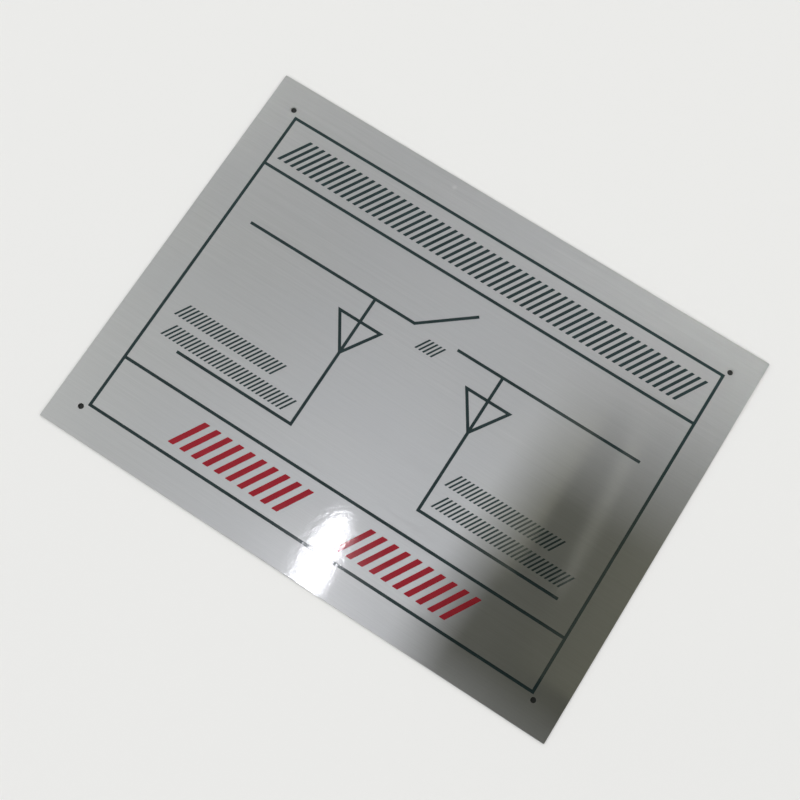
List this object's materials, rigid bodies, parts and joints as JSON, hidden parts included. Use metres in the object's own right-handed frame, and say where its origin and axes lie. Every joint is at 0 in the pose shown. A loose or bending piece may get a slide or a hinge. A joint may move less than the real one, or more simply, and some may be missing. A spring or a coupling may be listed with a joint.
{
  "type": "equipment identification plate",
  "caption": "Flat rectangular brushed metal plate with a fixing hole near each corner, printed with a ruled border and a single-line circuit diagram, for marking equipment.",
  "frame": {"origin": "centre of the back face", "axes": "+X along the long side, to the right as the print is read; +Y up the print, along the short side; +Z out of the printed front face"},
  "size_m": [0.4, 0.3, 0.001],
  "materials": {
    "steel": "brushed along the long side, with fine hairlines under a thin clear coat",
    "dark_ink": "dark green-black printed ink, glossy",
    "red_ink": "red printed ink, glossy"
  },
  "bodies": {
    "root": {"plate": "steel"}
  },
  "joints": []
}
